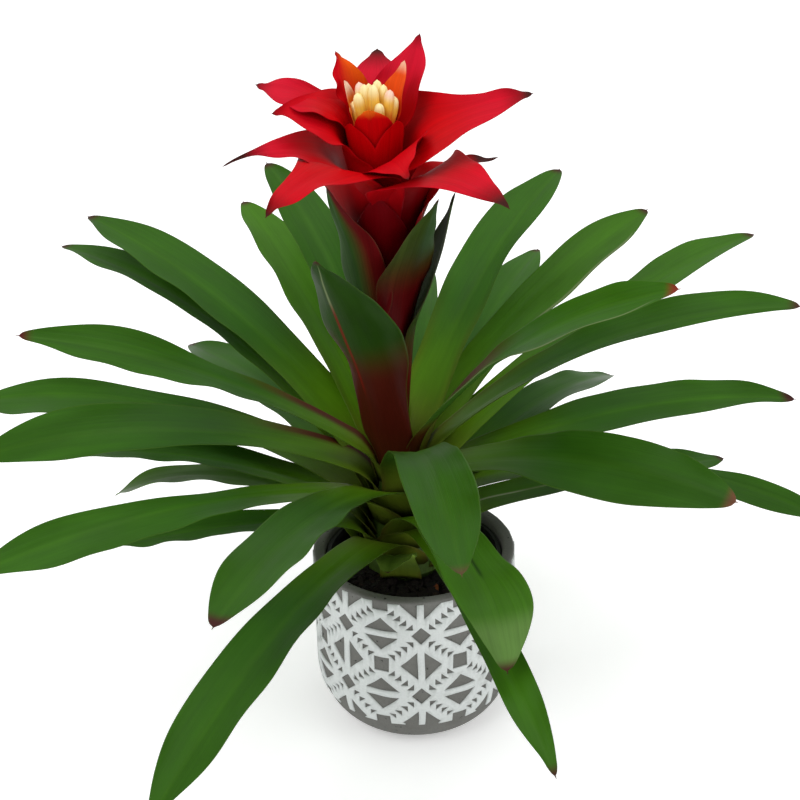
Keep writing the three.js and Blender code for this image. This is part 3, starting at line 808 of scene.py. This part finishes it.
def leaf_paint(name, seed):
    rng = np.random.default_rng(seed)
    tone = rng.uniform(0.0, 0.55)
    bright = BRIGHT_LEAVES.get(name, 0.0)
    red = RED_BASES.get(name, 0.08)
    tip_from, tip_color = LEAF_TIPS.get(name, (0.978, DEAD_TIP))
    fold = HIGHLIGHTED_ENDS.get(name, 1.0)

    def paint(u, v, under):
        edge = smooth(np.abs(u), 0.55, 1.0)
        layers = [
            (LEAF_DEEP, tone),
            (LEAF_LIGHT, 0.25 * smooth(v, 0.35, 0.8)),
            (LEAF_LIGHT, bright),
            # painted highlight along the midrib
            (LEAF_LIGHT, 0.25 * np.exp(-((u / 0.12) ** 2))),
            (LEAF_UNDER, 0.5 * under),
            LEAF_TINTS.get(name, (LEAF_GREEN, 0.0)),
            (LEAF_BRIGHT, 0.75 * (1 - smooth(v, 0.12, 0.48)) * (1 - under)),
            (LEAF_BASE, 0.8 * (1 - smooth(v, 0.02, 0.22))),
            (SHEATH_EDGE, 0.6 * smooth(np.abs(u), 0.7, 1.0) * (1 - smooth(v, 0.05, 0.14))),
            # painted shade at the foot of each leaf, where it meets the mix
            (SHEATH_FOOT_SHADE, 0.85 * (1 - smooth(v, 0.0, 0.055))),
            # painted highlight on a folded-down end
            (FOLD_HIGHLIGHT, 0.6 * smooth(v, fold, fold + 0.06)),
            (MAROON, red * edge * (1 - smooth(v, 0.25, 0.6))),
            (MAROON, red * (1 - smooth(v, 0.06, 0.22))),
        ]
        for side, reach, fade, end in RED_STRETCHES.get(name, []):
            close = 1.0 if side == 0 else smooth(side * u, 1 - reach, 1 - reach * 0.55)
            layers.append((LEAF_RED, 0.93 * close * (1 - smooth(v, fade, end))))
        layers.append((tip_color, smooth(v, tip_from - 0.02, tip_from + 0.012)))
        return layered(u.shape, LEAF_GREEN, layers)

    return paint


def bract_paint(pink_sheen, shade_to, tip_from, orange=0.0):
    """Crimson, pink on its outer part, partly its own colour and partly painted sheen, with painted shade in
    the throat up to the share shade_to and a dark tip from tip_from.
    """

    def paint(u, v, under):
        throat_shade = 1 - smooth(v, shade_to - 0.18, shade_to + 0.12)
        layers = [
            # pink outer part: partly the bract's own pink, partly painted sheen
            (BRACT_PINK_SHEEN, pink_sheen * smooth(v, 0.55, 0.85)),
            (BRACT_UNDER, 0.4 * under),
            # painted shade in the throat, deeper on the under face
            (BRACT_DEEP, (0.35 + 0.6 * under) * throat_shade),
            (BRACT_ORANGE, orange * smooth(v, 0.55, 0.85) * smooth(-u, -0.6, 0.9)),
            (STALK_RED, 0.6 * smooth(v, tip_from - 0.08, tip_from + 0.02)),
            (DEAD_TIP, smooth(v, tip_from, min(tip_from + 0.06, 1.0))),
        ]
        return layered(u.shape, BRACT_RED, layers)

    return paint


def stalk_paint(green_left, green_right, top, split=0.0):
    """A bract on the stalk: dark red below, green towards its tip on either side of the split."""

    def paint(u, v, under):
        green = mix(green_left, green_right, smooth(u, split - 0.35, split + 0.35))[..., 0]
        layers = [
            (STALK_GREEN, np.clip(green * smooth(v, top - 0.3, top), 0, 1)),
            (LEAF_GREEN, 0.35 * np.clip(green, 0, 1) * smooth(v, 0.6, 0.95)),
            (DEAD_TIP, smooth(v, 0.955, 0.985)),
        ]
        return layered(u.shape, STALK_RED, layers)

    return paint


def crown_paint(tip, middle, base, pale_from):
    """One colour below, another in the middle and a third from the share pale_from up."""

    def paint(u, v, under):
        layers = [(middle, smooth(v, 0.35, 0.75)), (tip, smooth(v, pale_from, min(pale_from + 0.14, 1)))]
        return layered(u.shape, base, layers)

    return paint


# Short inner bracts that close the front of the cup under the flowers: direction, heights of foot and top
# above the mix, radius at the foot, flare towards the top and width, in millimetres, and its rim's colour
INNER_BRACTS = [
    (222, 250, 303, 12.5, 5.5, 30, BRACT_RED),
    (316, 250, 303, 12.5, 5.5, 30, BRACT_RED),
    (268, 254, 311, 11.5, 4.5, 34, RIM_ORANGE),
]


def inner_bract(number, azimuth, foot, top, radius, flare, width, rim):
    u = np.linspace(-1, 1, ACROSS + 1)
    share = np.linspace(0, 1, ALONG)
    outline = np.sqrt(np.maximum(0, 1 - np.maximum(0, (share - 0.45) / 0.55) ** 2)) + 0.02
    wide = width * outline * (0.75 + 0.25 * smooth(share, 0, 0.5))
    away = radius + flare * share**2
    angle = math.radians(azimuth) + u[None] * wide[:, None] / 2 / away[:, None]
    height = foot + (top - foot) * share[:, None] - 1.5 * u[None] ** 2
    grid = np.stack([away[:, None] * np.cos(angle), away[:, None] * np.sin(angle), height], -1) / 1000
    turn = np.array(PLANT_FRAME.to_3x3())
    grid = grid @ turn.T + np.array(PLANT_FOOT)
    # The lower part is darkened with painted shade, under the bracts around it
    paint = crown_paint(rim, BRACT_RED, mix(BRACT_RED, BRACT_DEEP, 0.6), 0.9)
    size = (wide / 1000, (top - foot) / 1000, BRACT_THICKNESS)
    return sheet(f"inner_bract_{number}", grid, u, share, *size, INNER_SEED + number, paint)


# The planter and what is in it


def corner(radius, width, floor, height, steps):
    """The rounded corner between floor and wall, from the floor up, as radii and heights."""
    turns = np.linspace(math.pi / 2, 0, steps + 1)
    return [(radius - width * (1 - math.cos(t)), floor + height * (1 - math.sin(t))) for t in turns]


def planter_profile(inset):
    """The outside of the planter from the middle of its base up to the wall, set back by inset."""
    rounded = corner(PLANTER_RADIUS - inset, CORNER_WIDTH - inset, 0.0, CORNER_HEIGHT, PROFILE_STEPS)
    return [(0.0, 0.0), *rounded]


def lathe(name, profile):
    """A profile of radii and heights, from the axis back to the axis, turned round it."""
    count = LATHE_SEGMENTS
    bottom, *rings, last = profile
    points = [(0, 0, bottom[1])]
    for r, z in rings:
        for k in range(count):
            a = 2 * math.pi * k / count
            points.append((r * math.cos(a), r * math.sin(a), z))
    points.append((0, 0, last[1]))
    faces = [(0, 1 + (k + 1) % count, 1 + k) for k in range(count)]
    faces += tube_faces(len(rings), count, 1)
    top = len(points) - 1
    faces += [(top - count + k, top - count + (k + 1) % count, top) for k in range(count)]
    return new_object(name, points, faces)


def planter_body():
    """The concrete planter: its outside, the rounded lip, and its inside down to the floor."""
    outside = planter_profile(PATTERN_RAISE)
    inner = PLANTER_RADIUS - PLANTER_WALL
    lip = [(outside[-1][0], PLANTER_HEIGHT - LIP_HEIGHT)]
    lip += [(PLANTER_RADIUS - inward, PLANTER_HEIGHT - down) for inward, down in LIP_OUTSIDE]
    lip += [(inner + outward, PLANTER_HEIGHT - down) for outward, down in LIP_INSIDE]
    depth = CORNER_HEIGHT - PLANTER_WALL
    inside = corner(inner, CORNER_WIDTH, PLANTER_FLOOR, depth, INSIDE_STEPS)[::-1]
    return lathe("planter_body", outside + lip + inside + [(0.0, PLANTER_FLOOR)])


def pattern_figures():
    """The bare figures between the raised bands, in millimetres: across, and down from the rim."""
    row = PATTERN_PERIOD * 1000 / 2
    figures = []
    for up in range(-1, 4):
        for side in (-1, 0, 1):
            x = 2 * TILE_HALF * side
            w = PATTERN_FIRST_ROW * 1000 + 2 * row * up
            ox, ow = x + TILE_HALF, w + row
            right, down = DIAMOND
            figures.append([(x - right, w), (x, w - down), (x + right, w), (x, w + down)])
            base, point, half = SIDE_TRIANGLE
            for sx in (-1, 1):
                flat = x + base * sx
                figures.append([(flat, ow - half), (x + point * sx, ow), (flat, ow + half)])
            left, right = ox - SQUARE[0], ox + SQUARE[0]
            above, below = ow - SQUARE[1], ow + SQUARE[1]
            figures.append([(left, above), (right, above), (right, below), (left, below)])
            base, point, half = UPRIGHT_TRIANGLE
            for sw in (-1, 1):
                flat = w + base * sw
                figures.append([(ox - half, flat), (ox + half, flat), (ox, w + point * sw)])
            for sx in (-1, 1):
                for sw in (-1, 1):
                    figures.extend(small_triangles(x, w, sx * TILE_HALF, sw * row))
    return [f for f in figures if min(p[1] for p in f) < FIGURES_END and max(p[1] for p in f) > 0]


def small_triangles(x, w, right, down):
    """The small triangles along the diagonal that runs from (x, w) by right and down."""
    sx, sw = math.copysign(1, right), math.copysign(1, down)
    found = []
    for k in range(SMALL_COUNT):
        share = SMALL_FIRST + SMALL_STEP * k
        tx, tw = x + right * share, w + down * share
        back, on = tx - sx * SMALL_ACROSS[0], tx + sx * SMALL_ACROSS[1]
        near, far = tw - sw * SMALL_DOWN[0], tw + sw * SMALL_DOWN[1]
        found.append([(back, near), (on, near), (back, far)])
    return found


def inside_figure(x, w, figure):
    """Whether a point lies inside a figure, whichever way round its corners run."""
    signs = []
    for (ax, aw), (bx, bw) in zip(figure, figure[1:] + figure[:1]):
        signs.append((bx - ax) * (w - aw) - (bw - aw) * (x - ax))
    return all(s > 0 for s in signs) or all(s < 0 for s in signs)


def planter_wall_tables():
    """Distance down from the rim, radius and height along the planter's outside wall."""
    profile = np.array([(PLANTER_RADIUS, PLANTER_HEIGHT)] + planter_profile(0.0)[:0:-1])
    steps = np.linalg.norm(np.diff(profile, axis=0), axis=1)
    return np.concatenate([[0], np.cumsum(steps)]), profile[:, 0], profile[:, 1]


def pattern_tile():
    """One tile of the raised bands, flat and cut by the figures: its points and its triangles."""
    top, end = PATTERN_TOP * 1000, PATTERN_END * 1000
    figures = pattern_figures()
    points, edges = [], []

    def add_loop(loop, closed=True):
        first = len(points)
        points.extend(Vector(p) for p in loop)
        count = len(loop) if closed else len(loop) - 1
        edges.extend((first + k, first + (k + 1) % len(loop)) for k in range(count))

    add_loop([(-TILE_HALF, top), (TILE_HALF, top), (TILE_HALF, end), (-TILE_HALF, end)])
    for k in range(1, TILE_CUTS):
        x = -TILE_HALF + 2 * TILE_HALF * k / TILE_CUTS
        add_loop([(x, top), (x, end)], closed=False)
    for w in TILE_ROWS:
        add_loop([(-TILE_HALF, w), (TILE_HALF, w)], closed=False)
    for figure in figures:
        add_loop(figure)
    verts, _, tris, _, _, _ = geometry.delaunay_2d_cdt(points, edges, [], 0, 1e-4)
    kept = []
    for tri in tris:
        x = sum(verts[i].x for i in tri) / len(tri)
        w = sum(verts[i].y for i in tri) / len(tri)
        inside_tile = -TILE_HALF < x < TILE_HALF and top < w < end
        if inside_tile and not any(inside_figure(x, w, f) for f in figures):
            kept.append(tri)
    return verts, kept


def on_wall(x, w, turn, wall):
    """Where a point of the tile lies on the planter, some tenths of a millimetre off, as if hand-made."""
    length, radius, height = wall
    angle = -math.pi / 2 + PATTERN_TURN + turn + x / 1000 / PLANTER_RADIUS
    wobble = 0.22 * math.sin(7 * angle + w / 6) + 0.16 * math.sin(23 * angle - w / 4)
    sway = 0.2 * math.sin(11 * angle + w / 5 + 1)
    down = (w + wobble) / 1000
    angle += sway / 1000 / PLANTER_RADIUS
    r = np.interp(down, length, radius)
    z = np.interp(down, length, height)
    return (r * math.cos(angle), r * math.sin(angle), z)


def planter_pattern():
    """The raised bands round the planter: the tile repeated and wrapped on the wall, then thickened."""
    verts, kept = pattern_tile()
    used = sorted({i for tri in kept for i in tri})
    wall = planter_wall_tables()
    work = bmesh.new()
    for repeat in range(PATTERN_REPEATS):
        turn = 2 * math.pi * repeat / PATTERN_REPEATS
        made = {i: work.verts.new(on_wall(verts[i].x, verts[i].y, turn, wall)) for i in used}
        for tri in kept:
            work.faces.new([made[i] for i in tri])
    bmesh.ops.remove_doubles(work, verts=work.verts, dist=2 * WELD_DISTANCE)
    bmesh.ops.recalc_face_normals(work, faces=work.faces)
    outward = sum(f.normal.dot(f.calc_center_median().xy.to_3d().normalized()) for f in work.faces)
    if outward < 0:
        bmesh.ops.reverse_faces(work, faces=work.faces)
    mesh = bpy.data.meshes.new("planter_pattern")
    work.to_mesh(mesh)
    work.free()
    mesh.polygons.foreach_set("use_smooth", [True] * len(mesh.polygons))
    made = added("planter_pattern", mesh)
    solid = made.modifiers.new("raise", "SOLIDIFY")
    solid.thickness = PATTERN_RAISE + PATTERN_SINK
    solid.offset = -1
    solid.use_even_offset = False
    return made


def bark_chips():
    """Bark and a few white grains lying on the mix round the plant."""
    rng = np.random.default_rng(11)
    points, faces, paint = [], [], []
    for k in range(CHIP_COUNT):
        a = rng.uniform(0, 2 * math.pi)
        r = math.sqrt(rng.uniform(CHIP_RING[0] ** 2, CHIP_RING[1] ** 2))
        white = k % WHITE_EVERY == 0
        size = rng.uniform(*GRAIN_SIZES, 3) if white else rng.uniform(*CHIP_SIZES)
        turn = Matrix.Rotation(rng.uniform(0, 6.3), 3, "Z") @ Matrix.Rotation(rng.uniform(-0.5, 0.5), 3, "X")
        turn = turn @ Matrix.Rotation(rng.uniform(-0.4, 0.4), 3, "Y")
        centre = Vector((r * math.cos(a), r * math.sin(a), MIX_TOP + rng.uniform(0.0004, 0.0022)))
        first = len(points)
        for z in (-1, 1):
            for step in range(CHIP_SIDES):
                b = 2 * math.pi * step / CHIP_SIDES
                shape = rng.uniform(0.75, 1.1)
                up = z * size[2] * rng.uniform(0.6, 1)
                point = Vector((math.cos(b) * size[0] * shape, math.sin(b) * size[1] * shape, up))
                points.append(centre + turn @ point)
        color = GRAIN_WHITE if white else CHIP_BROWNS[min(int(rng.exponential(0.75)), len(CHIP_BROWNS) - 1)]
        paint.extend([color] * 2 * CHIP_SIDES)
        faces.append(tuple(first + i for i in range(CHIP_SIDES - 1, -1, -1)))
        faces.append(tuple(first + CHIP_SIDES + i for i in range(CHIP_SIDES)))
        faces += tube_faces(2, CHIP_SIDES, first)
    made = new_object("bark_chips", points, faces, smooth_shaded=False)
    store(made, "paint", "FLOAT_COLOR", paint)
    return made


# Flowers

# The tip of each floret: right of the stalk's axis, away from the viewer and above the mix, in millimetres
FLORETS = [
    (-7.3, 3.0, 321.5),
    (-4.4, 0.0, 321.0),
    (0.8, -3.0, 321.5),
    (3.1, 5.0, 321.5),
    (6.6, 2.0, 319.5),
    (10.1, -2.0, 317.5),
    (-8.5, -2.5, 317.0),
    (12.5, 2.0, 312.0),
    (3.7, -8.0, 312.0),
    (-2.0, 7.0, 319.0),
    (-11.5, 1.0, 311.0),
]


def floret_flower():
    """The florets as one piece: slim buds with three grooves towards the tip, close together below."""
    rows, around = FLORET_ROWS, FLORET_SIDES
    points, faces, paint, grain = [], [], [], []
    for index, (right, back, top) in enumerate(FLORETS):
        foot = Vector((right * FOOT_CLOSENESS, back * FOOT_CLOSENESS, FLORET_FOOT))
        tip = Vector((right, back, top))
        line = tip - foot
        side = line.orthogonal().normalized()
        other = line.normalized().cross(side)
        first = len(points)
        rng = np.random.default_rng(40 + index)
        wide = rng.uniform(2.8, 3.3)
        twist = rng.uniform(0, 2 * math.pi)
        for i in range(rows):
            t = i / (rows - 1)
            swell = 0.72 + 0.3 * float(smooth(t, 0.3, 0.7))
            close = math.sqrt(max(0.0, 1 - max(0.0, (t - 0.8) / 0.2) ** 2))
            r = wide * swell * close
            centre = foot + line * t
            for k in range(around):
                a = 2 * math.pi * k / around
                dent = math.exp(-((math.sin(1.5 * (a + twist)) / 0.35) ** 2))
                groove = 1 - GROOVE_DEPTH * float(smooth(t, 0.5, 0.9)) * dent
                p = centre + (side * math.cos(a) + other * math.sin(a)) * (r * groove)
                points.append(PLANT_FRAME @ (p / 1000))
                layers = [
                    (mix(FLORET_YELLOW, FLORET_CREAM, smooth(t, 0.74, 0.95)), smooth(t, 0.5, 0.72)),
                    # painted shade in the grooves
                    (GROOVE_SHADE, 0.25 * (1 - groove) / GROOVE_DEPTH),
                    (FLORET_PINK, smooth(t, 0.8, 0.95) * (index in PINK_FLORETS)),
                ]
                paint.append(layered((), FLORET_ORANGE, layers))
                grain.append((a * wide / 1000, t * line.length / 1000, index))
        faces += tube_faces(rows, around, first)
        faces.append(tuple(first + k for k in range(around - 1, -1, -1)))
    made = new_object("florets", points, faces)
    store(made, "paint", "FLOAT_COLOR", paint)
    store(made, "grain", "FLOAT_VECTOR", grain)
    return made


# Build everything

leaf_material = blade_material("leaf_surface", 0.42, 0.08, 0.06, 0.16, 0.4, (0.055, 0.11, 0.010, 1))
bract_material = blade_material("bract_surface", 0.48, 0.035, 0.07, 0.08, 0.45, (0.24, 0.0, 0.006, 1))
stalk_material = blade_material("stalk_surface", 0.42, 0.06, 0.14, 0.2, 0.4, (0.09, 0.05, 0.02, 1))
concrete = concrete_material()
pattern_paint = paint_material()

# For each kind of blade: its thickness, the wave of its margins, the crease along its middle and its seed
FORMS = {
    "leaf": (LEAF_THICKNESS, 0.0011, 0.0007, 0),
    "stalk_bract": (BRACT_THICKNESS, 0.0006, 0.0004, 60),
    "red_bract": (BRACT_THICKNESS, 0.0016, 0.0005, 80),
    "crown_bract": (BRACT_THICKNESS, 0.0005, 0.0003, 100),
}
INNER_SEED = 120


def add_blades(kind, digits, material, paints):
    """Builds the numbered blades of a kind, each of which stands for the node of the same name."""
    *form, seed = FORMS[kind]
    for number, paint in paints.items():
        name = f"{kind}_{number:0{digits}d}"
        made = blade(name + "_blade", name, *form, seed + number, paint)
        finish_piece(made, [name], material)


add_blades("leaf", 2, leaf_material, {n: leaf_paint(f"leaf_{n:02d}", n) for n in range(1, 33)})

STALK_PAINTS = {
    1: stalk_paint(0.9, 0.9, 0.5),
    2: stalk_paint(1.0, 0.0, 0.45, 0.3),
    3: stalk_paint(0.5, 0.5, 0.7),
    4: stalk_paint(0.8, 1.0, 0.72),
}
add_blades("stalk_bract", 1, stalk_material, STALK_PAINTS)

# The highest of them is red like the bracts above it
add_blades("stalk_bract", 1, bract_material, {5: crown_paint(BRACT_DEEP, BRACT_DEEP, BRACT_DEEP, 0.9)})

# For each red bract: how pink its outer part is, partly with painted sheen, how far the painted shade in its
# throat reaches, where the dark tip starts and how orange its margin is
RED_PAINTS = {
    1: bract_paint(0.0, 0.5, 0.84),
    2: bract_paint(0.6, 0.5, 0.90),
    3: bract_paint(0.3, 0.40, 0.93),
    4: bract_paint(1.0, 0.40, 0.93),
    5: bract_paint(0.9, 0.42, 0.84),
    6: bract_paint(0.2, 0.40, 0.97),
    7: bract_paint(0.7, 0.36, 0.92),
    8: bract_paint(0.3, 0.36, 0.97),
    9: bract_paint(1.0, 0.34, 0.97),
    10: bract_paint(0.9, 0.36, 0.96),
    11: bract_paint(0.2, 0.36, 0.985, 1.0),
}
add_blades("red_bract", 2, bract_material, RED_PAINTS)

CROWN_PAINTS = {
    1: crown_paint((0.72, 0.13, 0.008), BRACT_RED, BRACT_RED, 0.86),
    2: crown_paint(PALE_TIP, (0.80, 0.20, 0.02), BRACT_RED, 0.80),
    3: crown_paint((0.85, 0.50, 0.32), (0.72, 0.075, 0.008), BRACT_RED, 0.86),
}
add_blades("crown_bract", 1, bract_material, CROWN_PAINTS)

for number, sizes in enumerate(INNER_BRACTS, 1):
    finish_piece(inner_bract(number, *sizes), [], bract_material)

finish_piece(floret_flower(), ["flowers"], petal_material())
finish_piece(planter_body(), ["planter"], concrete)
finish_piece(planter_pattern(), [], pattern_paint)
finish_piece(bark_chips(), [], bark_material())

for name, material in (
    ("grow_pot", plastic_material()),
    ("potting_mix", soil_material()),
    ("stem", stem_material()),
):
    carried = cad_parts[name]
    carried.data.materials.clear()
    carried.data.materials.append(material)

# Floor, light and camera


def build_floor():
    bpy.ops.mesh.primitive_plane_add(size=FLOOR_SIZE, location=(0, 0, 0))
    floor = bpy.context.object
    floor.name = "floor"
    material, _, shader = new_material("floor", 0.9, 0.1)
    shader.inputs["Base Color"].default_value = (0.96, 0.96, 0.96, 1)
    shader.inputs["Emission Color"].default_value = (1, 1, 1, 1)
    shader.inputs["Emission Strength"].default_value = 0.3
    floor.data.materials.append(material)
    floor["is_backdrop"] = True


def softbox(name, place, target, size, watts):
    light = bpy.data.lights.new(name, "AREA")
    light.shape = "RECTANGLE"
    light.size, light.size_y = size
    light.energy = watts
    obj = added(name, light)
    obj.location = place
    obj.rotation_euler = (Vector(target) - Vector(place)).to_track_quat("-Z", "Y").to_euler()


build_floor()
for name, settings in LIGHTS.items():
    softbox(name, *settings)

world = bpy.data.worlds.new("studio")
world.use_nodes = True
world.node_tree.nodes["Background"].inputs["Color"].default_value = (1, 1, 1, 1)
world.node_tree.nodes["Background"].inputs["Strength"].default_value = WORLD_STRENGTH
bpy.context.scene.world = world
bpy.context.scene.view_settings.view_transform = "Standard"
bpy.context.scene.view_settings.look = "None"

camera_data = bpy.data.cameras.new("camera")
camera_data.sensor_width = 36
camera_data.lens = CAMERA_LENS
camera_data.clip_end = 30
camera = added("camera", camera_data)
camera.matrix_world = (
    Matrix.Translation(CAMERA_PLACE)
    @ Matrix.Rotation(math.radians(90 - CAMERA_PITCH), 4, "X")
    @ Matrix.Rotation(math.radians(CAMERA_ROLL), 4, "Z")
)
bpy.context.scene.camera = camera

visual_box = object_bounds()
for corner in (*cad_box, *visual_box):
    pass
